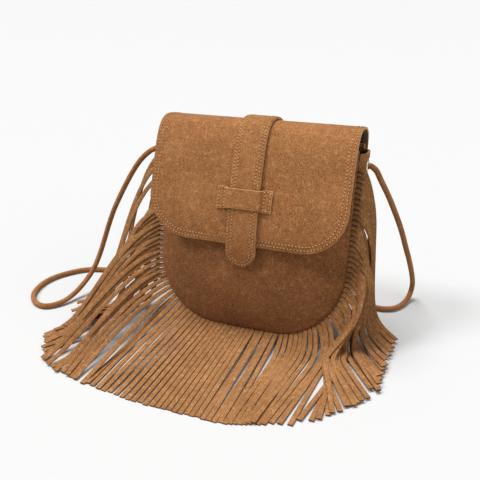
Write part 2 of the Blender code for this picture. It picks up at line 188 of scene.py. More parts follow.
def make_studio():
    world = bpy.data.worlds.new("studio")
    world.use_nodes = True
    background = world.node_tree.nodes["Background"]
    background.inputs["Color"].default_value = (1.0, 1.0, 1.0, 1)
    background.inputs["Strength"].default_value = 0.22
    # light on the bag comes from a dim sky, and the eye sees a pale wall beyond the floor
    wall = world.node_tree.nodes.new("ShaderNodeBackground")
    wall.inputs["Color"].default_value = (0.94, 0.94, 0.94, 1)
    seen = world.node_tree.nodes.new("ShaderNodeLightPath")
    choose = world.node_tree.nodes.new("ShaderNodeMixShader")
    output = world.node_tree.nodes["World Output"]
    world.node_tree.links.new(seen.outputs["Is Camera Ray"], choose.inputs[0])
    world.node_tree.links.new(background.outputs[0], choose.inputs[1])
    world.node_tree.links.new(wall.outputs[0], choose.inputs[2])
    world.node_tree.links.new(choose.outputs[0], output.inputs["Surface"])
    bpy.context.scene.world = world
    for name, power, softness, aim in (("overhead", 2.9, 30, (0.20, -0.02, -0.97)),
                                       ("side_right", 0.75, 60, (-0.72, 0.25, -0.65)),
                                       ("high_left", 1.35, 14, (0.50, 0.38, -0.78))):
        data = bpy.data.lights.new(name, 'SUN')
        data.energy = power
        data.angle = math.radians(softness)
        lamp = link(name, data)
        lamp.location = Vector(aim) * -1.5
        lamp.rotation_mode = 'QUATERNION'
        lamp.rotation_quaternion = Vector(aim).to_track_quat('-Z', 'Y')
    bm = bmesh.new()
    bmesh.ops.create_grid(bm, x_segments=1, y_segments=1, size=60)
    mesh = close_mesh(bm, "floor")
    floor = link("floor", mesh)
    paint = bpy.data.materials.new("pale_floor")
    paint.use_nodes = True
    shader = paint.node_tree.nodes["Principled BSDF"]
    shader.inputs["Base Color"].default_value = (0.60, 0.60, 0.60, 1)
    shader.inputs["Roughness"].default_value = 0.9
    shader.inputs["Specular IOR Level"].default_value = 0.1
    mesh.materials.append(paint)
    # the plain view keeps the pale floor pale and the suede as warm as its own colour
    bpy.context.scene.view_settings.view_transform = 'Standard'


make_camera()
make_studio()

# %% [markdown]
# ## Suede as a material
#
# Suede is the brushed flesh side of a hide. Close up it is a short nap: its colour shifts with
# the way the fibres lie, in soft patches of a few centimetres, in finger marks of a few
# millimetres and in single tufts under a millimetre. One shader group makes these three scales
# once, and each suede material sets its own tones. The nap's soft glow at grazing angles is the
# Principled shader's sheen.

# %% Shader groups
def new_group(name, inputs, outputs):
    group = bpy.data.node_groups.new(name, 'ShaderNodeTree')
    for label, kind, value in inputs:
        socket = group.interface.new_socket(label, in_out='INPUT', socket_type=kind)
        socket.default_value = value
    for label, kind in outputs:
        group.interface.new_socket(label, in_out='OUTPUT', socket_type=kind)
    return group, group.nodes.new("NodeGroupInput"), group.nodes.new("NodeGroupOutput")


def noise_node(group, place, scale_socket, factor, detail, rough=0.6):
    """A noise texture whose scale is a group input times a factor."""
    scale = group.nodes.new("ShaderNodeMath")
    scale.operation = 'MULTIPLY'
    scale.inputs[1].default_value = factor
    group.links.new(scale_socket, scale.inputs[0])
    texture = group.nodes.new("ShaderNodeTexNoise")
    texture.inputs["Detail"].default_value = detail
    texture.inputs["Roughness"].default_value = rough
    group.links.new(place, texture.inputs["Vector"])
    group.links.new(scale.outputs[0], texture.inputs["Scale"])
    return texture.outputs["Fac"]


def blend_math(group, operation, a, b):
    node = group.nodes.new("ShaderNodeMath")
    node.operation = operation
    for socket, value in zip(node.inputs, (a, b)):
        if isinstance(value, (int, float)):
            socket.default_value = value
        else:
            group.links.new(value, socket)
    return node.outputs[0]


def make_nap_group():
    group, given, result = new_group(
        "suede_nap",
        [("Dark", 'NodeSocketColor', (0.2, 0.08, 0.03, 1)),
         ("Light", 'NodeSocketColor', (0.5, 0.25, 0.1, 1)),
         ("Scuff", 'NodeSocketColor', (0.62, 0.34, 0.15, 1)),
         ("Patch Scale", 'NodeSocketFloat', 1.0),
         ("Tuft Scale", 'NodeSocketFloat', 1.0),
         ("Contrast", 'NodeSocketFloat', 1.0)],
        [("Colour", 'NodeSocketColor'), ("Height", 'NodeSocketFloat')])
    place = group.nodes.new("ShaderNodeTexCoord").outputs["Object"]
    patch = noise_node(group, place, given.outputs["Patch Scale"], 26, 3)
    marks = noise_node(group, place, given.outputs["Patch Scale"], 190, 3, 0.7)
    tufts = noise_node(group, place, given.outputs["Tuft Scale"], 800, 2, 0.75)
    fibres = noise_node(group, place, given.outputs["Tuft Scale"], 1500, 1)
    # weigh the scales, then spread them round the middle by the contrast
    slow = blend_math(group, 'ADD', blend_math(group, 'MULTIPLY', patch, 0.13),
                      blend_math(group, 'MULTIPLY', marks, 0.13))
    fast = blend_math(group, 'ADD', blend_math(group, 'MULTIPLY', tufts, 0.42),
                      blend_math(group, 'MULTIPLY', fibres, 0.32))
    lay = blend_math(group, 'SUBTRACT', blend_math(group, 'ADD', slow, fast), 0.5)
    spread = blend_math(group, 'MULTIPLY', lay, given.outputs["Contrast"])
    mask = group.nodes.new("ShaderNodeMath")
    mask.operation = 'MULTIPLY_ADD'
    mask.inputs[1].default_value = 4.8
    mask.inputs[2].default_value = 0.5
    mask.use_clamp = True
    group.links.new(spread, mask.inputs[0])
    mix = group.nodes.new("ShaderNodeMix")
    mix.data_type = 'RGBA'
    group.links.new(mask.outputs[0], mix.inputs["Factor"])
    group.links.new(given.outputs["Dark"], mix.inputs[6])
    group.links.new(given.outputs["Light"], mix.inputs[7])
    # here and there the nap is rubbed up into a paler fleck
    rubbed = blend_math(group, 'ADD', blend_math(group, 'MULTIPLY', marks, 0.6),
                        blend_math(group, 'MULTIPLY', tufts, 0.4))
    fleck = blend_math(group, 'MULTIPLY', blend_math(group, 'SUBTRACT', rubbed, 0.545), 5.0)
    fleck = blend_math(group, 'MINIMUM', blend_math(group, 'MAXIMUM', fleck, 0.0), 0.36)
    pale = group.nodes.new("ShaderNodeMix")
    pale.data_type = 'RGBA'
    group.links.new(fleck, pale.inputs["Factor"])
    group.links.new(mix.outputs[2], pale.inputs[6])
    group.links.new(given.outputs["Scuff"], pale.inputs[7])
    group.links.new(pale.outputs[2], result.inputs["Colour"])
    height = blend_math(group, 'ADD', blend_math(group, 'MULTIPLY', tufts, 0.6),
                        blend_math(group, 'MULTIPLY', fibres, 0.4))
    group.links.new(height, result.inputs["Height"])
    return group


def make_weave_group():
    """Plain woven cloth on a UV map that is laid out in metres."""
    group, given, result = new_group(
        "plain_weave",
        [("Dark", 'NodeSocketColor', (0.05, 0.03, 0.02, 1)),
         ("Light", 'NodeSocketColor', (0.12, 0.08, 0.05, 1)),
         ("Threads per Metre", 'NodeSocketFloat', 1400.0)],
        [("Colour", 'NodeSocketColor'), ("Height", 'NodeSocketFloat')])
    place = group.nodes.new("ShaderNodeTexCoord").outputs["UV"]
    split = group.nodes.new("ShaderNodeSeparateXYZ")
    group.links.new(place, split.inputs[0])
    waves = []
    for axis in (0, 1):
        turn = blend_math(group, 'MULTIPLY', split.outputs[axis], given.outputs[2])
        waves.append(blend_math(group, 'SINE', blend_math(group, 'MULTIPLY', turn, math.pi), 0))
    cross = blend_math(group, 'MULTIPLY', waves[0], waves[1])
    lift = group.nodes.new("ShaderNodeMath")
    lift.operation = 'MULTIPLY_ADD'
    lift.inputs[1].default_value = 0.5
    lift.inputs[2].default_value = 0.5
    group.links.new(cross, lift.inputs[0])
    mix = group.nodes.new("ShaderNodeMix")
    mix.data_type = 'RGBA'
    group.links.new(lift.outputs[0], mix.inputs["Factor"])
    group.links.new(given.outputs["Dark"], mix.inputs[6])
    group.links.new(given.outputs["Light"], mix.inputs[7])
    group.links.new(mix.outputs[2], result.inputs["Colour"])
    group.links.new(lift.outputs[0], result.inputs["Height"])
    return group


NAP = make_nap_group()
WEAVE = make_weave_group()


# %% Materials
def finish_with(group, name, values, roughness, bump, depth, sheen=0.0, tint=(1, 1, 1, 1)):
    """A Principled material whose colour and bump come from a shader group."""
    material = bpy.data.materials.new(name)
    material.use_nodes = True
    tree = material.node_tree
    shader = tree.nodes["Principled BSDF"]
    effect = tree.nodes.new("ShaderNodeGroup")
    effect.node_tree = group
    for label, value in values.items():
        effect.inputs[label].default_value = value
    relief = tree.nodes.new("ShaderNodeBump")
    relief.inputs["Strength"].default_value = bump
    relief.inputs["Distance"].default_value = depth
    tree.links.new(effect.outputs["Colour"], shader.inputs["Base Color"])
    tree.links.new(effect.outputs["Height"], relief.inputs["Height"])
    tree.links.new(relief.outputs["Normal"], shader.inputs["Normal"])
    shader.inputs["Roughness"].default_value = roughness
    shader.inputs["Specular IOR Level"].default_value = 0.2
    shader.inputs["Sheen Weight"].default_value = sheen
    shader.inputs["Sheen Roughness"].default_value = 0.5
    shader.inputs["Sheen Tint"].default_value = tint
    return material


SHEEN_TINT = (1.0, 0.75, 0.5, 1)
SUEDE_TONES = {"Dark": (0.155, 0.054, 0.0150, 1), "Light": (0.435, 0.194, 0.070, 1),
               "Scuff": (0.54, 0.275, 0.115, 1)}
suede = finish_with(NAP, "tan_suede", SUEDE_TONES, 0.95, 0.4, 0.4 * MM, 0.12, SHEEN_TINT)
# The front panel's suede has darker tones than the flap's: partly its own darker hide, partly
# painted shade of the belly under the flap.
belly_suede_with_painted_shade = finish_with(NAP, "front_panel_suede_with_painted_shade",
                          {"Dark": (0.108, 0.037, 0.0108, 1), "Light": (0.325, 0.138, 0.049, 1),
                           "Scuff": (0.44, 0.215, 0.085, 1)}, 0.95, 0.4, 0.4 * MM, 0.12, SHEEN_TINT)
fringe_suede = finish_with(NAP, "fringe_suede",
                           {"Dark": (0.160, 0.063, 0.020, 1), "Light": (0.425, 0.205, 0.078, 1)},
                           0.95, 0.4, 0.4 * MM, 0.12, SHEEN_TINT)
# The dark beads between stitches are painted shade inside the needle holes.
needle_hole_painted_shade = finish_with(NAP, "needle_hole_painted_shade",
                          {"Dark": (0.055, 0.020, 0.007, 1), "Light": (0.10, 0.038, 0.013, 1),
                           "Scuff": (0.10, 0.038, 0.013, 1)},
                          1.0, 0.1, 0.1 * MM)
# The strips' cut sides are darker than a cut edge is: painted shade of the narrow gaps between
# neighbouring strips.
strip_edge_painted_shade = finish_with(NAP, "cut_strip_edge_painted_shade",
                         {"Dark": (0.075, 0.029, 0.010, 1), "Light": (0.185, 0.085, 0.033, 1),
                          "Scuff": (0.24, 0.12, 0.05, 1)},
                         0.98, 0.4, 0.3 * MM)
# The cut edge's paler tones are partly the raw edge's own colour, partly a painted highlight along
# the rims.
cut_edge_with_painted_highlight = finish_with(NAP, "cut_suede_edge_painted_highlight",
                       {"Dark": (0.38, 0.190, 0.080, 1), "Light": (0.70, 0.42, 0.20, 1),
                        "Tuft Scale": 1.6}, 0.98, 0.5, 0.3 * MM, 0.12, SHEEN_TINT)
thread = finish_with(NAP, "tan_thread",
                     {"Dark": (0.46, 0.23, 0.09, 1), "Light": (0.75, 0.44, 0.20, 1),
                      "Scuff": (0.85, 0.55, 0.28, 1), "Tuft Scale": 2.0}, 0.6, 0.3, 0.1 * MM)
lining_cloth = finish_with(WEAVE, "lining_cloth", {}, 0.9, 0.4, 0.1 * MM)


def make_brass():
    material = bpy.data.materials.new("pale_gold_brass")
    material.use_nodes = True
    tree = material.node_tree
    shader = tree.nodes["Principled BSDF"]
    shader.inputs["Metallic"].default_value = 1.0
    place = tree.nodes.new("ShaderNodeTexCoord")
    rub = tree.nodes.new("ShaderNodeTexNoise")
    rub.inputs["Scale"].default_value = 400
    ramp = tree.nodes.new("ShaderNodeMapRange")
    ramp.inputs["To Min"].default_value = 0.16
    ramp.inputs["To Max"].default_value = 0.32
    tint = tree.nodes.new("ShaderNodeMix")
    tint.data_type = 'RGBA'
    tint.inputs[6].default_value = (0.80, 0.66, 0.42, 1)
    tint.inputs[7].default_value = (0.93, 0.84, 0.62, 1)
    tree.links.new(place.outputs["Object"], rub.inputs["Vector"])
    tree.links.new(rub.outputs["Fac"], ramp.inputs["Value"])
    tree.links.new(ramp.outputs["Result"], shader.inputs["Roughness"])
    tree.links.new(rub.outputs["Fac"], tint.inputs["Factor"])
    tree.links.new(tint.outputs[2], shader.inputs["Base Color"])
    return material


brass = make_brass()
print("materials ready:", len(bpy.data.materials))


# %% [markdown]
# ## Sheets with a thickness
#
# Nearly every piece here is a sheet of suede. A sheet is laid out as rows of points on its
# outer face, gets a UV map in metres, and the Solidify modifier gives it thickness towards the
# inside. The rim that appears is the cut edge, so it takes the paler cut-edge material: partly the
# raw edge's own paler colour, partly a painted highlight along the rim. A small Bevel rounds the
# edge as the knife and the nap do.

# %% Sheet helpers
def stand_for(piece, body, node):
    """The piece moves with a body and hides the frame's plain node."""
    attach(piece, body)
    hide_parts(node)


def apply_modifiers(thing):
    """Bake the modifiers into the mesh, so that the piece is plain geometry."""
    evaluated = thing.evaluated_get(bpy.context.evaluated_depsgraph_get())
    mesh = bpy.data.meshes.new_from_object(evaluated)
    thing.modifiers.clear()
    old, thing.data = thing.data, mesh
    mesh.name = thing.name
    if old.users == 0:
        (bpy.data.curves if isinstance(old, bpy.types.Curve) else bpy.data.meshes).remove(old)
    return thing


def sheet(name, rows, thickness, face, rim=None, round_edge=0.35 * MM):
    """A closed sheet whose outer face is the grid of rows, as long as it is wide in UV metres."""
    bm = bmesh.new()
    layer = bm.loops.layers.uv.new("UVMap")
    verts = [[bm.verts.new(p) for p in row] for row in rows]
    middle = len(rows[0]) // 2
    down = [0.0]
    for upper, lower in zip(rows, rows[1:]):
        down.append(down[-1] + (Vector(lower[middle]) - Vector(upper[middle])).length)
    across = []
    for row in rows:
        run = [0.0]
        for a, b in zip(row, row[1:]):
            run.append(run[-1] + (Vector(b) - Vector(a)).length)
        across.append([value - run[-1] / 2 for value in run])
    for r in range(len(rows) - 1):
        for i in range(len(rows[r]) - 1):
            corners = ((r, i), (r + 1, i), (r + 1, i + 1), (r, i + 1))
            quad = bm.faces.new([verts[a][b] for a, b in corners])
            quad.smooth = True
            for loop, (a, b) in zip(quad.loops, corners):
                loop[layer].uv = (across[a][b], -down[a])
    mesh = close_mesh(bm, name)
    thing = link(name, mesh, face, rim or face)
    shell = thing.modifiers.new("thickness", 'SOLIDIFY')
    shell.thickness = thickness
    shell.offset = -1
    shell.material_offset_rim = 1
    if round_edge:
        soft = thing.modifiers.new("soft edge", 'BEVEL')
        soft.width = round_edge
        soft.segments = 2
        soft.limit_method = 'ANGLE'
        soft.angle_limit = math.radians(50)
        soft.material = 1
    return apply_modifiers(thing)


def ripple(point, size, depth, seed):
    """Slow unevenness of soft hide: a height that changes over a given distance."""
    return depth * noise.noise(Vector(point) / size + Vector((seed, seed * 1.7, 0)))


# %% [markdown]
# ## The strap
#
# The strap is one suede cord, rolled and stitched shut, so it keeps a round section and bends
# in lazy curves. It leaves each eyelet level, drops under its own weight and lies on the floor:
# a short way behind the bag at the right, and in one open loop at the left. A tube swept along
# the given route with a UV map along its length carries the closing seam as a fine groove.

# %% The strap's route and tube
CORD = 6.0 * MM
STRAP_ROUTE = [(112, 68, 182), (117, 70, 177.5), (121.5, 75, 167), (131, 88, 143),
               (142, 106, 109), (149, 121, 80), (154.5, 136, 54), (158, 150.5, 30),
               (158.5, 155.5, 15.5), (156, 146, 5.4), (149.5, 126.5, 3.4), (138, 114.5, 3.4),
               (118, 113.5, 3.4), (60, 128, 3.4), (0, 133, 3.4), (-70, 125, 3.4),
               (-140, 105, 3.4), (-190, 93, 3.4), (-222, 91, 3.4), (-247, 82, 3.4),
               (-267, 58, 3.4), (-274, 32, 3.4), (-268, 4, 3.4), (-252, -15, 3.4),
               (-234, -19, 3.6), (-221, -4, 4.5), (-215, 18, 10), (-209, 40, 24),
               (-203, 50, 42), (-196, 54, 63), (-187, 56, 88), (-178, 58, 109),
               (-162, 61, 139), (-147, 63, 162), (-134, 65, 175), (-122, 67, 181),
               (-112, 68, 182)]
ROUTE_SHIFT = Vector((0, -41.5, 0)) * MM


def frames_along(points):
    """A side vector at each point that never twists round the path."""
    side = None
    result = []
    for i, point in enumerate(points):
        ahead = (points[min(i + 1, len(points) - 1)] - points[max(i - 1, 0)]).normalized()
        if side is None:
            side = ahead.orthogonal().normalized()
        side = (side - ahead * side.dot(ahead)).normalized()
        result.append((point, ahead, side))
    return result


def tube(name, points, radius, material, around=16):
    """A closed tube; radius(u, turn) may vary with the distance and round the section."""
    bm = bmesh.new()
    layer = bm.loops.layers.uv.new("UVMap")
    rings, runs, run = [], [], 0.0
    for i, (point, ahead, side) in enumerate(frames_along(points)):
        if i:
            run += (point - points[i - 1]).length
        runs.append(run)
        up = ahead.cross(side)
        ring = []
        for k in range(around):
            turn = math.tau * k / around
            reach = radius(run, turn)
            ring.append(bm.verts.new(point + (side * math.cos(turn) + up * math.sin(turn)) * reach))
        rings.append(ring)
    for i, (low, high) in enumerate(zip(rings, rings[1:])):
        for k in range(around):
            j = (k + 1) % around
            quad = bm.faces.new((low[k], low[j], high[j], high[k]))
            quad.smooth = True
            corners = ((runs[i], k), (runs[i], k + 1), (runs[i + 1], k + 1), (runs[i + 1], k))
            for loop, (u, v) in zip(quad.loops, corners):
                loop[layer].uv = (u, v / around)
    bm.faces.new(list(reversed(rings[0])))
    bm.faces.new(rings[-1])
    mesh = close_mesh(bm, name)
    return link(name, mesh, material)


def make_strap():
    dense = smooth_curve([Vector(p) * MM + ROUTE_SHIFT for p in STRAP_ROUTE], 20)
    points, length = even_points(dense, 340)
    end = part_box("strap_knot_right")[0].x + 13.0 * MM
    first = Vector((end, EYELET.y, points[0].z))
    last = Vector((-end, EYELET.y, points[-1].z))
    points = [first, first.lerp(points[0], 0.5)] + points + [points[-1].lerp(last, 0.5), last]
    length += (points[2] - first).length + (points[-3] - last).length

    def rolled(run, turn):
        seam = math.exp(-((turn - math.pi) / 0.28) ** 2)
        slack = noise.noise(Vector((run * 60, math.cos(turn), math.sin(turn))))
        return CORD / 2 * (0.985 + 0.02 * slack - 0.10 * seam)

    strap = tube("rolled_strap", points, rolled, suede, 20)
    stand_for(strap, "bag", "strap")
    knots = [make_knot(side) for side in (-1, 1)]
    print("strap:", round(length, 3), "m long")
    return strap


def make_knot(side):
    """An overhand knot in the same cord, pulled tight: a trefoil path and a fat tube."""
    word = "right" if side > 0 else "left"
    low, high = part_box("strap_knot_" + word)
    centre, size = (low + high) / 2, (high.x - low.x) / 2
    points = []
    for i in range(73):
        t = math.tau * i / 72
        loop = Vector((math.sin(3 * t) * 0.8, math.sin(t) + 2 * math.sin(2 * t),
                       math.cos(t) - 2 * math.cos(2 * t)))
        points.append(centre + loop * size * 0.185)
    knot = tube("stopper_knot_" + word, points[:-1], lambda run, turn: 2.5 * MM, suede, 12)
    stand_for(knot, "bag", "strap_knot_" + word)
    return knot


strap = make_strap()

# %% [markdown]
# ## Front, back and gusset
#
# The body is three pieces of suede sewn along two U-shaped seams. Stuffed, the front panel
# swells out of its seam: quickly near the foot, where the filling presses, and less near the
# mouth. Its depth is therefore a formula of height and of the place across, plus a slow ripple.
# Close to the seam the edge dives in, because the fringe band and the gusset are sewn behind it.

# %% Front panel, back panel and gusset
BELLY = 28 * MM
BELLY_RISE = 40 * MM
SIDE_BULGE = 6 * MM
FOOT_BULGE = 8 * MM


def half_width(z):
    rise = z - SEAM_FOOT
    if rise >= CORNER:
        return HALF_WIDTH
    return HALF_WIDTH - CORNER + math.sqrt(max(CORNER ** 2 - (CORNER - rise) ** 2, 0))


def from_seam(x, z):
    """Distance of a point of a panel from the seam round it."""
    x, flat, centre = abs(x), HALF_WIDTH - CORNER, SEAM_FOOT + CORNER
    if z >= centre:
        return HALF_WIDTH - x
    if x <= flat:
        return z - SEAM_FOOT
    return CORNER - math.hypot(x - flat, z - centre)


def front_depth(x, z):
    across = x / max(half_width(z), 1e-6)
    swell = BELLY * (1 - math.exp(-(z - SEAM_FOOT) / BELLY_RISE)) - max(z - 0.150, 0) * 0.18
    swell *= max(math.cos(max(-1, min(1, across)) * math.pi / 2), 0) ** 0.8
    dive = max(1 - from_seam(x, z) / (3 * MM), 0) ** 2 * 1.1 * MM
    calm = min(from_seam(x, z) / (25 * MM), 1)
    return (front_seam(z) - SEAM_ROOM - swell + dive
            + calm * ripple((x, 0, z), 0.055, 1.4 * MM, 3))


def panel_rows(depth, top, columns, corner_steps, side_steps, inset=0.0):
    rows = []
    heights = [SEAM_FOOT + inset + (CORNER - inset) * (1 - math.cos(math.pi / 2 * k / corner_steps))
               for k in range(corner_steps + 1)]
    start = SEAM_FOOT + CORNER
    heights += [start + (top - start) * (k + 1) / side_steps for k in range(side_steps)]
    for z in reversed(heights):
        rise = min((z - SEAM_FOOT - inset) / (CORNER - inset), 1)
        wide = HALF_WIDTH - CORNER + (CORNER - inset) * math.sqrt(max(1 - (1 - rise) ** 2, 0))
        xs = [wide * math.sin(math.pi / 2 * (2 * i / columns - 1) * 0.98) / math.sin(math.pi * 0.49)
              for i in range(columns + 1)]
        rows.append([(x, depth(x, z), z) for x in xs])
    return rows


def make_front_panel():
    rows = panel_rows(front_depth, FRONT_TOP, 70, 34, 26)
    panel = sheet("front_suede", rows, SUEDE, belly_suede_with_painted_shade, cut_edge_with_painted_highlight)
    stand_for(panel, "bag", "front_panel")


def back_depth(x, z):
    swell = 1.0 * MM * math.cos(x / max(half_width(z), 1e-6) * math.pi / 2)
    calm = min(from_seam(x, z) / (25 * MM), 1)
    dive = max(1 - from_seam(x, z) / (3 * MM), 0) ** 2 * 0.8 * MM
    return (back_seam(z) + 0.3 * MM + SUEDE + swell - dive
            + calm * ripple((x, 0, z), 0.06, 0.6 * MM, 9))


def make_back_panel():
    rows = [list(reversed(row)) for row in panel_rows(back_depth, BACK_TOP, 50, 26, 20)]
    panel = sheet("back_suede", rows, SUEDE, suede, cut_edge_with_painted_highlight)
    stand_for(panel, "bag", "back_panel")


def gusset_point(run, share, extra=0.0):
    """Point of the gusset: run along the seam's U, share from the front to the back seam."""
    x, z, out_x, out_z = seam_at(run)
    bulge = SIDE_BULGE + (FOOT_BULGE - SIDE_BULGE) * out_z ** 2
    bulge *= min(1, 1.5 * math.sin(math.pi * min(max(share, 0), 1)))
    if out_z > -0.98:
        bulge += min(1, 4 * share * (1 - share)) * ripple((x, share * 0.06, z), 0.04, 0.7 * MM, 5)
    hem = max(0, min(1, (z - SIDE_TOP + 8 * MM) / (1.5 * MM)))
    bulge += extra + hem * 0.8 * MM
    y = front_seam(z) + 1.2 * MM + (back_seam(z) - front_seam(z) - 1.2 * MM) * share
    return Vector((x + out_x * bulge, y, z + out_z * bulge))


def make_gusset():
    half = seam_length(SIDE_TOP)
    count = 150
    runs = [half * (2 * i / count - 1) for i in range(count + 1)]
    runs = sorted(runs + [s * (half - d * MM) for s in (-1, 1) for d in (6.8, 7.6, 8.4)])
    shares = (0, 0.05, 0.11, 0.17, 0.2323, 0.33, 0.42, 0.5, 0.58, 0.67, 0.7677, 0.83, 0.89, 0.95, 1)
    rows = [[gusset_point(run, share) for share in reversed(shares)] for run in runs]
    gusset = sheet("gusset_suede", rows, SUEDE, suede, cut_edge_with_painted_highlight)
    cut_eyelet_holes(gusset)
    stand_for(gusset, "bag", "gusset")


def cut_eyelet_holes(thing):
    """Punch the two round holes that the eyelets sit in."""
    for side in (-1, 1):
        bm = bmesh.new()
        bmesh.ops.create_cone(bm, cap_ends=True, segments=32, radius1=4.8 * MM, radius2=4.8 * MM,
                              depth=16 * MM)
        bmesh.ops.transform(bm, verts=bm.verts,
                            matrix=Matrix.Translation((side * EYELET_FACE, EYELET.y, EYELET.z))
                            @ Matrix.Rotation(math.pi / 2, 4, 'Y'))
        punch = link("punch", close_mesh(bm, "punch"))
        hole = thing.modifiers.new("hole", 'BOOLEAN')
        hole.object = punch
        apply_modifiers(thing)
        bpy.data.objects.remove(punch, do_unlink=True)


make_front_panel()
make_back_panel()
make_gusset()

# %% [markdown]
# ## The lining
#
# Inside hangs a plain woven bag, a little smaller than the suede one. It is a loft of rings
# that follow the panels' outline, closed at the bottom. It only shows when the flap is open.

# %% Lining
def make_lining():
    inset, columns = 3 * MM, 24
    shares = (0.12, 0.25, 0.5, 0.78, 0.9)
    heights = [SEAM_FOOT + inset + (CORNER - inset) * (1 - math.cos(math.pi / 2 * k / 14))
               for k in range(15)]
    start = SEAM_FOOT + CORNER
    heights += [start + (LINING_TOP - SEAM_FOOT - CORNER) * (k + 1) / 10 for k in range(10)]
    bm = bmesh.new()
    layer = bm.loops.layers.uv.new("UVMap")
    rings = []
    for z in reversed(heights):
        rise = min((z - SEAM_FOOT - inset) / (CORNER - inset), 1)
        out_x, out_z = math.sqrt(max(1 - (1 - rise) ** 2, 0)), -(1 - rise)
        wide = HALF_WIDTH - CORNER + (CORNER - inset) * out_x
        xs = [wide * (2 * i / columns - 1) for i in range(columns + 1)]
        front = [Vector((x, front_depth(x, z) + inset, z)) for x in xs]
        back = [Vector((x, back_seam(z) - 1.2 * MM, z)) for x in reversed(xs)]
        bulge = SIDE_BULGE + (FOOT_BULGE - SIDE_BULGE) * out_z ** 2 + 0.4 * MM
        y0, y1 = front[-1].y, back[0].y
        right = [Vector((wide + out_x * bulge * min(1, 4.2 * s * (1.02 - s) * 1.3),
                         y0 + (y1 - y0) * s,
                         z + out_z * bulge * min(1, 4.2 * s * (1.02 - s) * 1.3)))
                 for s in shares]
        left = [Vector((-p.x, p.y, p.z)) for p in reversed(right)]
        rings.append([bm.verts.new(p) for p in front + right + back + left])
    for upper, lower in zip(rings, rings[1:]):
        for i in range(len(upper)):
            j = (i + 1) % len(upper)
            bm.faces.new((upper[i], lower[i], lower[j], upper[j]))
    last, n, k = rings[-1], columns + 1, len(shares)
    right, left = last[n:n + k], last[2 * n + k:]
    rows = [last[:n]]
    for i in range(k):
        a, b = left[k - 1 - i], right[i]
        inner = [bm.verts.new(a.co.lerp(b.co, s / columns)) for s in range(1, columns)]
        rows.append([a] + inner + [b])
    rows.append(list(reversed(last[n + k:2 * n + k])))
    for near, far in zip(rows, rows[1:]):
        for i in range(columns):
            bm.faces.new((near[i], far[i], far[i + 1], near[i + 1]))
    for quad in bm.faces:
        quad.smooth = True
        flat = abs(quad.normal.z) > 0.8
        for loop in quad.loops:
            place = loop.vert.co
            loop[layer].uv = (place.x, place.y) if flat else (place.x + place.y, place.z)
    mesh = close_mesh(bm, "lining")
    lining = link("cotton_lining", mesh, lining_cloth)
    shell = lining.modifiers.new("thickness", 'SOLIDIFY')
    shell.thickness = 0.8 * MM
    shell.offset = -1
    apply_modifiers(lining)
    cut_eyelet_holes(lining)
    stand_for(lining, "bag", "lining")


make_lining()

# %% [markdown]
# ## The flap, its tab and the keeper
#
# The flap is sewn to the back and comes over the top like a lid. Its side view is one smooth
# line, so a row of points across it is moved along that line; towards the free end the row gets
# shorter to turn the round corners. The tab follows the same line a few millimetres higher, and
# the keeper is a short bone-shaped band bridging over the tab.

# %% Flap, facing, tab and keeper
FLAP_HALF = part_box("flap")[1].x
FLAP_CORNER = 44 * MM
TAB_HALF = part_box("closure_tab")[1].x
FLAP_PROFILE = [(89.5, 192), (89.5, 204), (86.3, 212), (77.5, 217.8), (67, 220.8), (57, 221.7),
                (47, 220.2), (39, 215.5), (32.5, 207.5), (26.5, 196.5), (18, 175), (9, 150),
                (4, 132), (1.5, 118), (0.5, 107)]
TAB_PROFILE = [(92.6, 195), (92.8, 204), (89.5, 213), (80, 220.2), (68, 224.4), (57, 225.5),
               (46, 224), (37, 218.5), (29, 209), (22.5, 197), (14, 176), (5, 150),
               (0, 132), (-2.5, 118), (-3.5, 106), (-3, 95), (-1, 84.5)]


def side_line(profile):
    """The profile as (points, directions, total length) at every half millimetre."""
    dense = smooth_curve([Vector((0, y, z)) * MM + ROUTE_SHIFT for y, z in profile])
    length = even_points(dense, 3)[1]
    points = even_points(dense, round(length / (0.5 * MM)))[0]
    ahead = [(points[min(i + 1, len(points) - 1)] - points[max(i - 1, 0)]).normalized()
             for i in range(len(points))]
    return points, ahead, length


def on_line(line, distance):
    points, ahead, length = line
    place = min(max(distance / length, 0), 1) * (len(points) - 1)
    i = min(int(place), len(points) - 2)
    direction = ahead[i].lerp(ahead[i + 1], place - i).normalized()
    return points[i].lerp(points[i + 1], place - i), Vector((0, direction.z, -direction.y))


FLAP_LINE = side_line(FLAP_PROFILE)
TAB_LINE = side_line(TAB_PROFILE)


def flap_point(x, distance, lift=0.0):
    point, normal = on_line(FLAP_LINE, distance)
    share = distance / FLAP_LINE[2]
    loose = ripple((x, distance, 0), 0.05, 0.7 * MM, 12) * min(1, max(0, share * 3 - 1))
    droop = 1.2 * MM * (x / FLAP_HALF) ** 4 * min(1, max(0, share * 2 - 0.6))
    place = point + normal * (lift + loose - droop)
    return Vector((x, place.y, place.z)), normal


def tab_point(x, distance, lift=0.0):
    point, normal = on_line(TAB_LINE, distance)
    crown = 0.5 * MM * (1 - (x / TAB_HALF) ** 2)
    place = point + normal * (lift + crown - 0.4 * MM)
    return Vector((x, place.y, place.z)), normal


def band_rows(point, length, half, radius, columns, steps, corner_steps, lift=0.0, last=88):
    """Rows across a band with two round corners at its free end."""
    straight = length - radius
    stations = [(straight * i / steps, half) for i in range(steps + 1)]
    for k in range(1, corner_steps + 1):
        angle = math.radians(last) * k / corner_steps
        stations.append((straight + radius * math.sin(angle),
                         half - radius + radius * math.cos(angle)))
    return [[point(wide * (2 * i / columns - 1), distance, lift)[0] for i in range(columns + 1)]
            for distance, wide in stations]


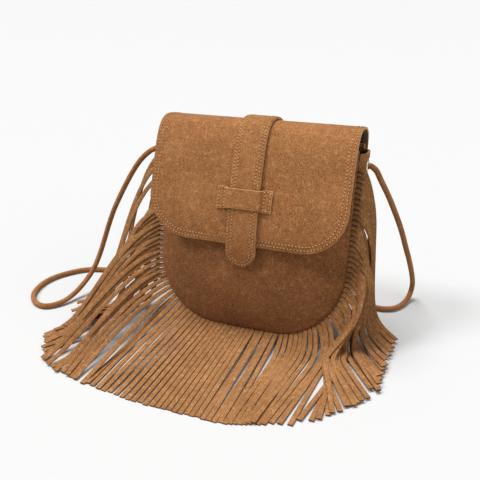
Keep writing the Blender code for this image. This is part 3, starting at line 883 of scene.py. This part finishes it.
def make_flap():
    rows = band_rows(flap_point, FLAP_LINE[2], FLAP_HALF, FLAP_CORNER, 60, 90, 22, last=90)
    flap = sheet("flap_suede", rows, 2.3 * MM, suede, cut_edge_with_painted_highlight, 0.85 * MM)
    rows = band_rows(flap_point, FLAP_LINE[2] - 0.6 * MM, FLAP_HALF - 0.6 * MM, FLAP_CORNER,
                     40, 60, 16, lift=-2.35 * MM, last=90)
    facing = sheet("flap_facing", rows, 0.6 * MM, lining_cloth, lining_cloth, 0.0)
    for piece, name, finish in ((flap, "flap", "suede"), (facing, "flap_lining", "lining_cloth")):
        stand_for(piece, "flap", name)


def make_tab():
    rows = band_rows(tab_point, TAB_LINE[2], TAB_HALF, TAB_HALF, 16, 100, 14)
    tab = sheet("tab_suede", rows, 2.5 * MM, suede, cut_edge_with_painted_highlight, 0.85 * MM)
    stand_for(tab, "flap", "closure_tab")


KEEPER_LOW, KEEPER_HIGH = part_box("keeper")
KEEPER_HALF = KEEPER_HIGH.x
KEEPER_AT = min(range(len(FLAP_LINE[0])),
                key=lambda i: abs(FLAP_LINE[0][i].z - KEEPER_HEIGHT) + (FLAP_LINE[0][i].y > 0))
KEEPER_AT = FLAP_LINE[2] * KEEPER_AT / (len(FLAP_LINE[0]) - 1)


def keeper_half_height(x):
    """Bone shape: full height at the sewn ends, narrower over the tab."""
    return (9.6 + 1.5 * min(1, max(0, (abs(x) / MM - 17) / 4))) * MM


def keeper_point(x, share, lift=0.0):
    """share runs from -1 at the top edge to 1 at the lower edge."""
    rise = 1 / (1 + math.exp((abs(x) - 18.6 * MM) / (0.75 * MM)))
    height = (2.1 + 4.3 * rise) * MM
    crown = 0.4 * MM * (1 - (x / (18 * MM)) ** 2) if abs(x) < 18 * MM else 0
    return flap_point(x, KEEPER_AT + share * keeper_half_height(x), lift + height + crown)


def make_keeper():
    xs = [KEEPER_HALF * (2 * i / 84 - 1) for i in range(85)]
    shares = [2 * i / 10 - 1 for i in range(11)]
    rows = [[keeper_point(x, share)[0] for x in xs] for share in shares]
    keeper = sheet("keeper_suede", rows, 1.4 * MM, suede, cut_edge_with_painted_highlight, 0.4 * MM)
    stand_for(keeper, "flap", "keeper")


make_flap()
make_tab()
make_keeper()

# %% [markdown]
# ## Stitches
#
# The seams are sewn with a thick thread, and each stitch is the same short capsule. Geometry
# Nodes are made for that: the script gives only the seam lines and which way is up along them,
# the tree sets a stitch at every pitch, turns it along the line and seats it on the suede.

# %% The stitch tree
def add_input(tree, label, kind, value):
    socket = tree.interface.new_socket(label, in_out='INPUT', socket_type=kind)
    if value is not None:
        socket.default_value = value
    return socket


def connect(links, *table):
    """Wire nodes up: each row is a node, its output, the next node and its input."""
    for source, output, target, place in table:
        links.new(source.outputs[output], target.inputs[place])


def make_stitch_tree():
    tree = bpy.data.node_groups.new("rows_of_stitches", 'GeometryNodeTree')
    add_input(tree, "Geometry", 'NodeSocketGeometry', None)
    add_input(tree, "Pitch", 'NodeSocketFloat', 3.4 * MM)
    add_input(tree, "Stitch Length", 'NodeSocketFloat', 2.5 * MM)
    add_input(tree, "Thread Width", 'NodeSocketFloat', 0.8 * MM)
    add_input(tree, "Thread", 'NodeSocketMaterial', None)
    add_input(tree, "Needle Hole Painted Shade", 'NodeSocketMaterial', None)
    tree.interface.new_socket("Geometry", in_out='OUTPUT', socket_type='NodeSocketGeometry')
    nodes, links = tree.nodes, tree.links
    given, result = nodes.new("NodeGroupInput"), nodes.new("NodeGroupOutput")
    line = nodes.new("GeometryNodeMeshToCurve")
    places = nodes.new("GeometryNodeResampleCurve")
    places.mode = 'LENGTH'
    tangent = nodes.new("GeometryNodeInputTangent")
    up = nodes.new("GeometryNodeInputNamedAttribute")
    up.data_type = 'FLOAT_VECTOR'
    up.inputs["Name"].default_value = "up"
    along = nodes.new("FunctionNodeAlignRotationToVector")
    along.axis = 'X'
    seated = nodes.new("FunctionNodeAlignRotationToVector")
    seated.axis = 'Z'
    seated.pivot_axis = 'X'
    bead = nodes.new("GeometryNodeMeshUVSphere")
    bead.inputs["Segments"].default_value = 8
    bead.inputs["Rings"].default_value = 5
    bead.inputs["Radius"].default_value = 0.5
    size = nodes.new("ShaderNodeCombineXYZ")
    shape = nodes.new("GeometryNodeTransform")
    paint = nodes.new("GeometryNodeSetMaterial")
    halfway = nodes.new("ShaderNodeMath")
    halfway.operation = 'MULTIPLY'
    halfway.inputs[1].default_value = 0.5
    # between two stitches sits a flat dark bead: painted shade inside the needle hole
    between = nodes.new("ShaderNodeCombineXYZ")
    dent = nodes.new("GeometryNodeTransform")
    dent.inputs["Scale"].default_value = (1.05 * MM, 0.9 * MM, 0.45 * MM)
    dark = nodes.new("GeometryNodeSetMaterial")
    pair = nodes.new("GeometryNodeJoinGeometry")
    put = nodes.new("GeometryNodeInstanceOnPoints")
    real = nodes.new("GeometryNodeRealizeInstances")
    smooth = nodes.new("GeometryNodeSetShadeSmooth")
    connect(links,
            (given, "Geometry", line, 0),
            (line, 0, places, "Curve"),
            (given, "Pitch", places, "Length"),
            (tangent, 0, along, "Vector"),
            (along, 0, seated, "Rotation"),
            (up, "Attribute", seated, "Vector"),
            (given, "Stitch Length", size, 0),
            (given, "Thread Width", size, 1),
            (given, "Thread Width", size, 2),
            (bead, "Mesh", shape, "Geometry"),
            (size, 0, shape, "Scale"),
            (shape, 0, paint, "Geometry"),
            (given, "Thread", paint, "Material"),
            (given, "Pitch", halfway, 0),
            (halfway, 0, between, 0),
            (bead, "Mesh", dent, "Geometry"),
            (between, 0, dent, "Translation"),
            (dent, 0, dark, "Geometry"),
            (given, "Needle Hole Painted Shade", dark, "Material"),
            (paint, 0, pair, 0),
            (dark, 0, pair, 0),
            (places, 0, put, "Points"),
            (pair, 0, put, "Instance"),
            (seated, 0, put, "Rotation"),
            (put, 0, real, 0),
            (real, 0, smooth, 0),
            (smooth, 0, result, 0))
    return tree


def set_input(modifier, label, value):
    for item in modifier.node_group.interface.items_tree:
        if item.item_type == 'SOCKET' and item.in_out == 'INPUT' and item.name == label:
            modifier[item.identifier] = value


def lines_mesh(name, lines, attribute):
    """A mesh of open edge chains; each point carries a vector attribute."""
    mesh = bpy.data.meshes.new(name)
    points, edges, vectors = [], [], []
    for line in lines:
        edges += [(len(points) + i, len(points) + i + 1) for i in range(len(line) - 1)]
        points += [point for point, vector in line]
        vectors += [vector for point, vector in line]
    mesh.from_pydata(points, edges, [])
    layer = mesh.attributes.new(attribute, 'FLOAT_VECTOR', 'POINT')
    layer.data.foreach_set("vector", [value for vector in vectors for value in vector])
    return mesh


def grow(name, mesh, tree, values, body, finish, *materials):
    """Run a tree on a mesh and keep the plain result as one piece of a body."""
    thing = link(name, mesh, *materials)
    modifier = thing.modifiers.new(tree.name, 'NODES')
    modifier.node_group = tree
    for label, value in values.items():
        set_input(modifier, label, value)
    apply_modifiers(thing)
    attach(thing, body)
    print(name, "has", len(thing.data.polygons), "faces")
    return thing


STITCHES = make_stitch_tree()


# %% Seam lines on the flap, the tab and the keeper
def edge_line(point, length, half, radius, inset, start, lift):
    """The line a machine sews round a band: down one side, round the end and up the other."""
    side = []
    straight = length - radius
    for k in range(60):
        side.append((half - inset, start + (straight - start) * k / 60))
    for k in range(31):
        angle = math.pi / 2 * k / 30
        side.append((half - radius + (radius - inset) * math.cos(angle),
                     straight + (radius - inset) * math.sin(angle)))
    whole = [(-x, d) for x, d in side] + [(x, d) for x, d in reversed(side)][1:]
    return [point(x, d, lift) for x, d in whole]


def keeper_line(side, inset):
    inner, outer = 20.6 * MM, KEEPER_HALF - inset
    tall = 1 - inset / (11 * MM)
    corners = [(inner, -tall), (outer, -tall), (outer, tall), (inner, tall), (inner, -tall)]
    line = []
    for (x0, s0), (x1, s1) in zip(corners, corners[1:]):
        for k in range(12):
            x, share = x0 + (x1 - x0) * k / 12, s0 + (s1 - s0) * k / 12
            line.append(keeper_point(side * x, share, 0.1 * MM))
    return line + [keeper_point(side * inner, -tall, 0.1 * MM)]


def make_stitches():
    flap_rows = [edge_line(flap_point, FLAP_LINE[2], FLAP_HALF, FLAP_CORNER, inset * MM,
                           12 * MM, 0.1 * MM) for inset in (3.2, 7.0)]
    tab_rows = [edge_line(tab_point, TAB_LINE[2], TAB_HALF, TAB_HALF, inset * MM,
                          10 * MM, 0.1 * MM) for inset in (2.3, 5.6)]
    keeper_rows = [keeper_line(side, 1.9 * MM) for side in (-1, 1)]
    values = {"Thread": thread, "Needle Hole Painted Shade": needle_hole_painted_shade}
    grow("stitches_on_flap", lines_mesh("seams", flap_rows + tab_rows + keeper_rows, "up"),
         STITCHES, values, "flap", "suede", thread, needle_hole_painted_shade)
    hems = []
    for side in (-1, 1):
        run = side * (seam_length(SIDE_TOP) - 6.2 * MM)
        line = []
        for k in range(31):
            share = 0.06 + 0.88 * k / 30
            x, z, out_x, out_z = seam_at(run)
            line.append((gusset_point(run, share, 0.1 * MM), Vector((out_x, 0, out_z))))
        hems.append(line)
    grow("stitches_on_hems", lines_mesh("hem_seams", hems, "up"), STITCHES,
         dict(values, **{"Pitch": 3.0 * MM, "Stitch Length": 2.1 * MM}), "bag", "suede",
         thread, needle_hole_painted_shade)


make_stitches()

# %% [markdown]
# ## The fringe
#
# One band of suede is sewn into the front seam and cut every 5.1 mm; the strips get longer up
# the sides. Along the foot they lie side by side on the floor. At the sides each strip springs
# out of the seam, turns over, falls and runs out on the floor. So a strip is one curve through
# the air and one straight run, drawn between where it is sewn and where its end was laid. The
# landing place on the floor is moved along the strip's heading until the whole has the length that
# was cut.
# Neighbours move in locks of a few strips. A settling pass then pushes apart the strips that
# lie in each other, and Geometry Nodes sweep the flat section along every line.

# %% Lay out the strips
STRIP_PITCH = 5.1 * MM
STRIP_WIDTH = 5.0 * MM
STRIP_THICK = 1.3 * MM
FRINGE_TOP = 186 * MM
STEPS = 30
dice = random.Random(7)

# For each side: distance along the seam from the middle of the foot, where the strip's end
# lies (sideways, forwards), its heading there in degrees outwards, and how far the strip
# springs out of the seam before it falls.
LEFT_ENDS = [(0, 0, 137, 0, 3), (31, 34, 138, 0, 3), (55, 63, 139, 1, 3),
             (70, 84, 137, 1, 5), (80, 96, 133, 0, 6), (84, 104, 125, -3, 11),
             (95, 119, 124, -3, 22), (106, 131, 121, 1, 30), (115, 142, 118, 10, 36),
             (133, 166, 106, 21, 42), (153, 183, 88, 26, 44), (176, 196, 66, 27, 44),
             (190, 186, 52, 30, 38), (205, 172, 30, 44, 34), (249, 160, -4, 56, 30)]
RIGHT_ENDS = [(0, 0, 137, 0, 3), (31, 32, 137, -1, 3), (55, 51, 131, -4, 5),
              (70, 61, 127, -6, 9), (76, 66, 126, -8, 13), (85, 76, 119, -10, 19),
              (94, 89, 113, -9, 28), (105, 106, 103, 7, 36), (115, 119, 97, 17, 44),
              (125, 126, 84, 21, 52), (143, 138, 69, 24, 58), (160, 150, 52, 27, 54),
              (176, 157, 40, 29, 48), (190, 152, 22, 31, 42), (205, 155, 8, 33, 38),
              (220, 155, -9, 36, 34), (249, 156, -50, 44, 28)]
# Three strips near the top of the left side end by themselves: sideways, forwards, heading,
# spring.
STRAYS = {0: (205, -38, 85, 40), 2: (203, 2, 52, 40), 5: (197, 21, 36, 40)}


def from_keys(keys, distance):
    distance = distance / MM
    for low, high in zip(keys, keys[1:]):
        if distance <= high[0]:
            share = max(0, (distance - low[0]) / (high[0] - low[0]))
            return [a + (b - a) * share for a, b in zip(low[1:], high[1:])]
    return list(keys[-1][1:])


def strip_length(z):
    return 0.148 + 0.47 * max(z - 20 * MM, 0)


def bezier(a, b, c, d, count):
    points = []
    for i in range(count + 1):
        t = i / count
        points.append(a * (1 - t) ** 3 + b * 3 * t * (1 - t) ** 2 + c * 3 * t * t * (1 - t)
                      + d * t ** 3)
    return points


def lay_strip(number, run, layer, lock):
    """Centre line and face normals of one strip that starts at a place on the seam."""
    x, z, out_x, out_z = seam_at(run)
    end_x, end_y, heading, spring = from_keys(LEFT_ENDS if x < 0 else RIGHT_ENDS, abs(run))
    if x < 0 and number in STRAYS:
        end_x, end_y, heading, spring = STRAYS[number]
        lock = (0, 0, 0, 0)
    side = math.copysign(1, x)
    wild = min(1, max(0, (abs(run) - 80 * MM) / (15 * MM)))
    heading = math.radians(heading + lock[0] * wild + dice.uniform(-0.6, 0.6))
    ahead = Vector((side * math.sin(heading), -math.cos(heading), 0))
    end = Vector((side * end_x, -end_y, 0)) * MM + ROUTE_SHIFT
    end += Vector((side * lock[1], lock[2], 0)) * MM * wild
    end.z = layer
    start = Vector((x, front_seam(z) + 0.2 * MM, z)) + Vector((out_x, 0, out_z)) * 0.3 * MM
    way = Vector((out_x, -0.30 - 0.25 * abs(out_z), out_z * 0.6 + 0.10 * wild)).normalized()
    crest = start + way * (spring + lock[3] * wild) * MM
    length = strip_length(z) * (1 + dice.uniform(-0.008, 0.008))
    short, long = 5 * MM, (end.xy - start.xy).length
    for attempt in range(16):
        floor_run = (short + long) / 2
        landing = end - ahead * floor_run
        sweep = landing - ahead * (7 + 0.10 * z / MM) * MM + Vector((0, 0, 0.03 * z))
        air = bezier(start, crest, sweep, landing, 40)
        total = sum((q - p).length for p, q in zip(air, air[1:])) + floor_run
        if total < length:
            short = floor_run
        else:
            long = floor_run
    path = air + [end + ahead * min(length - total, 8 * MM)]
    points = even_points(path, STEPS + 1)[0]
    # at the sides the strips stand in the seam like louvres, tilted a little upwards
    tilt = 0.228 + 0.30 * out_x ** 2
    normal = Vector((0, -math.cos(tilt), math.sin(tilt)))
    line = []
    for i, place in enumerate(points):
        along = (points[min(i + 1, STEPS)] - points[max(i - 1, 0)]).normalized()
        down = min(1, max(0, 1 - (place.z - layer) / (14 * MM)))
        if i:
            normal = normal + Vector((0, 0, 1)) * 0.3 * down
        normal = (normal - along * normal.dot(along)).normalized()
        line.append((place.copy(), normal.copy()))
    return line


def lay_fringe():
    half = seam_length(FRINGE_TOP)
    count = int(2 * half / STRIP_PITCH)
    strips = []
    lock, left_in_lock = (0, 0, 0, 0), 0
    for i in range(count):
        run = -half + (i + 0.5) * 2 * half / count
        x, z, out_x, out_z = seam_at(run)
        if left_in_lock == 0:
            lock = (dice.uniform(-9, 9), dice.uniform(-6, 6), dice.uniform(-9, 9),
                    dice.uniform(-10, 10))
            left_in_lock = dice.choice((2, 3, 4, 5))
        left_in_lock -= 1
        wander = (lock[0], lock[1] + dice.uniform(-1.5, 1.5), lock[2] + dice.uniform(-2, 2),
                  lock[3] + dice.uniform(-3, 3))
        height = max(z - 14 * MM, 0)
        layer = (0.7 + 0.03 * height / MM + (i % 2) * 0.6 * min(1, height / 0.02)) * MM
        strips.append(lay_strip(i, run, layer, wander))
    return strips


def settle(strips, rounds=14):
    """Push strips that lie in each other apart, across their faces, above the floor."""
    points = [place for line in strips for place, normal in line]
    normals = [normal for line in strips for place, normal in line]
    owner = [i for i, line in enumerate(strips) for pair in line]
    order = [k for line in strips for k in range(len(line))]
    for turn in range(rounds):
        tree = KDTree(len(points))
        for i, place in enumerate(points):
            tree.insert(place, i)
        tree.balance()
        push = [Vector() for place in points]
        for i, place in enumerate(points):
            if order[i] < 4:
                continue
            for other, j, gap in tree.find_range(place, 5.2 * MM):
                if owner[j] == owner[i] or order[j] < 3:
                    continue
                apart = place - other
                across = apart.dot(normals[i])
                need = STRIP_THICK * 1.15 - abs(across)
                if need > 0 and gap < 4.6 * MM:
                    way = 1 if (across > 0 or (across == 0 and i > j)) else -1
                    push[i] += normals[i] * way * need * 0.18
        for i in range(len(points)):
            limit = 1.2 * MM
            move = push[i] if push[i].length < limit else push[i].normalized() * limit
            points[i] = points[i] + move
            points[i].z = max(points[i].z, 0.72 * MM)
        # a strip can't kink, so each point moves a little towards its neighbours' middle
        for i in range(1, len(points) - 1):
            if order[i] > 1 and order[i] < STEPS:
                middle = (points[i - 1] + points[i + 1]) / 2
                points[i] = points[i].lerp(middle, 0.25)
    result, i = [], 0
    for line in strips:
        result.append([(points[i + k], normals[i + k]) for k in range(len(line))])
        i += len(line)
    return result


# %% Sweep the strips
def make_strip_tree():
    tree = bpy.data.node_groups.new("fringe_strips", 'GeometryNodeTree')
    add_input(tree, "Geometry", 'NodeSocketGeometry', None)
    add_input(tree, "Strip Width", 'NodeSocketFloat', STRIP_WIDTH)
    add_input(tree, "Strip Thickness", 'NodeSocketFloat', STRIP_THICK)
    add_input(tree, "Face", 'NodeSocketMaterial', None)
    add_input(tree, "Cut Edge Painted Shade", 'NodeSocketMaterial', None)
    tree.interface.new_socket("Geometry", in_out='OUTPUT', socket_type='NodeSocketGeometry')
    nodes, links = tree.nodes, tree.links
    given, result = nodes.new("NodeGroupInput"), nodes.new("NodeGroupOutput")
    line = nodes.new("GeometryNodeMeshToCurve")
    face_way = nodes.new("GeometryNodeInputNamedAttribute")
    face_way.data_type = 'FLOAT_VECTOR'
    face_way.inputs["Name"].default_value = "face_way"
    steer = nodes.new("GeometryNodeSetCurveNormal")
    steer.mode = 'FREE'
    section = nodes.new("GeometryNodeCurvePrimitiveQuadrilateral")
    rounded = nodes.new("GeometryNodeFilletCurve")
    rounded.mode = 'POLY'
    rounded.inputs["Count"].default_value = 2
    rounded.inputs["Radius"].default_value = 0.5 * MM
    sweep = nodes.new("GeometryNodeCurveToMesh")
    sweep.inputs["Fill Caps"].default_value = True
    real = nodes.new("GeometryNodeRealizeInstances")
    paint = nodes.new("GeometryNodeSetMaterial")
    paint_edge = nodes.new("GeometryNodeSetMaterial")
    flat_on = nodes.new("GeometryNodeInputNormal")
    face_again = nodes.new("GeometryNodeInputNamedAttribute")
    face_again.data_type = 'FLOAT_VECTOR'
    face_again.inputs["Name"].default_value = "face_way"
    dot = nodes.new("ShaderNodeVectorMath")
    dot.operation = 'DOT_PRODUCT'
    size = nodes.new("ShaderNodeMath")
    size.operation = 'ABSOLUTE'
    # faces that don't face the strip's way are its sides, which take the dark painted shade of the
    # gaps between strips
    is_edge = nodes.new("FunctionNodeCompare")
    is_edge.data_type = 'FLOAT'
    is_edge.operation = 'LESS_THAN'
    is_edge.inputs["B"].default_value = 0.85
    connect(links,
            (given, "Geometry", line, 0),
            (line, 0, steer, "Curve"),
            (face_way, "Attribute", steer, "Normal"),
            (given, "Strip Thickness", section, "Width"),
            (given, "Strip Width", section, "Height"),
            (steer, 0, sweep, "Curve"),
            (section, 0, rounded, "Curve"),
            (rounded, 0, sweep, "Profile Curve"),
            (sweep, 0, real, 0),
            (real, 0, paint, "Geometry"),
            (given, "Face", paint, "Material"),
            (paint, 0, paint_edge, "Geometry"),
            (given, "Cut Edge Painted Shade", paint_edge, "Material"),
            (flat_on, 0, dot, 0),
            (face_again, "Attribute", dot, 1),
            (dot, "Value", size, 0),
            (size, 0, is_edge, "A"),
            (is_edge, 0, paint_edge, "Selection"),
            (paint_edge, 0, result, 0))
    return tree


def make_fringe():
    strips = settle(lay_fringe())
    fringe = grow("cut_fringe", lines_mesh("strip_lines", strips, "face_way"), make_strip_tree(),
                  {"Face": fringe_suede, "Cut Edge Painted Shade": strip_edge_painted_shade}, "bag", "suede",
                  fringe_suede, strip_edge_painted_shade)
    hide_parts("fringe")


make_fringe()

# %% [markdown]
# ## Metal
#
# Each eyelet is a turned ring: a rolled flange outside, a barrel through the suede and a flat
# washer inside. The two halves of the snap are pressed discs. All are spun from a profile.

# %% Eyelets and snap
def spun(name, profile, matrix, material, steps=40):
    """Spin a closed profile of (radius, height) about its axis and place it."""
    bm = bmesh.new()
    verts = [bm.verts.new((radius, 0, height)) for radius, height in profile]
    edges = [bm.edges.new(pair) for pair in zip(verts, verts[1:] + verts[:1])
             if pair[0].co.x > 1e-7 or pair[1].co.x > 1e-7]
    bmesh.ops.spin(bm, geom=verts + edges, cent=(0, 0, 0), axis=(0, 0, 1),
                   angle=math.tau, steps=steps)
    bmesh.ops.remove_doubles(bm, verts=bm.verts, dist=0.004 * MM)
    bmesh.ops.recalc_face_normals(bm, faces=bm.faces)
    bmesh.ops.transform(bm, verts=bm.verts, matrix=matrix)
    mesh = close_mesh(bm, name)
    mesh.shade_smooth()
    mesh.set_sharp_from_angle(angle=math.radians(35))
    return link(name, mesh, material)


def make_eyelets():
    profile = [(3.7, 0.9), (3.85, 1.25), (4.3, 1.5), (5.0, 1.55), (5.9, 1.4), (6.5, 1.0),
               (6.8, 0.5), (6.75, 0.32), (4.5, 0.32), (4.5, -3.75), (5.7, -3.75), (5.8, -3.9),
               (5.7, -4.3), (5.4, -4.45), (3.9, -4.45), (3.7, -4.2)]
    profile = [(radius * MM, height * MM) for radius, height in profile]
    for side, word in ((-1, "left"), (1, "right")):
        matrix = (Matrix.Translation((side * EYELET_FACE, EYELET.y, EYELET.z))
                  @ Matrix.Rotation(side * math.pi / 2, 4, 'Y'))
        ring = spun("eyelet_ring_" + word, profile, matrix, brass)
        stand_for(ring, "bag", "eyelet_" + word)


def make_snap():
    stud = [(0, 0.6), (1.6, 0.6), (2.0, 0.4), (2.1, 0.1), (4.6, 0.1), (5.6, -0.05), (6.0, -0.3),
            (6.0, -0.6), (0, -0.6)]
    socket = [(0, 0.2), (2.2, 0.2), (2.5, 0.5), (3.2, 0.6), (4.6, 0.5), (5.7, 0.2), (6.0, -0.1),
              (6.0, -0.6), (0, -0.6)]
    for node, profile, facing, body in (("snap_stud", stud, 1, "flap"),
                                        ("snap_socket", socket, -1, "bag")):
        low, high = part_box(node)
        matrix = (Matrix.Translation((low + high) / 2)
                  @ Matrix.Rotation(-facing * math.pi / 2, 4, 'X'))
        disc = spun(node + "_disc", [(r * MM, h * MM) for r, h in profile], matrix, brass)
        stand_for(disc, body, node)


make_eyelets()
make_snap()
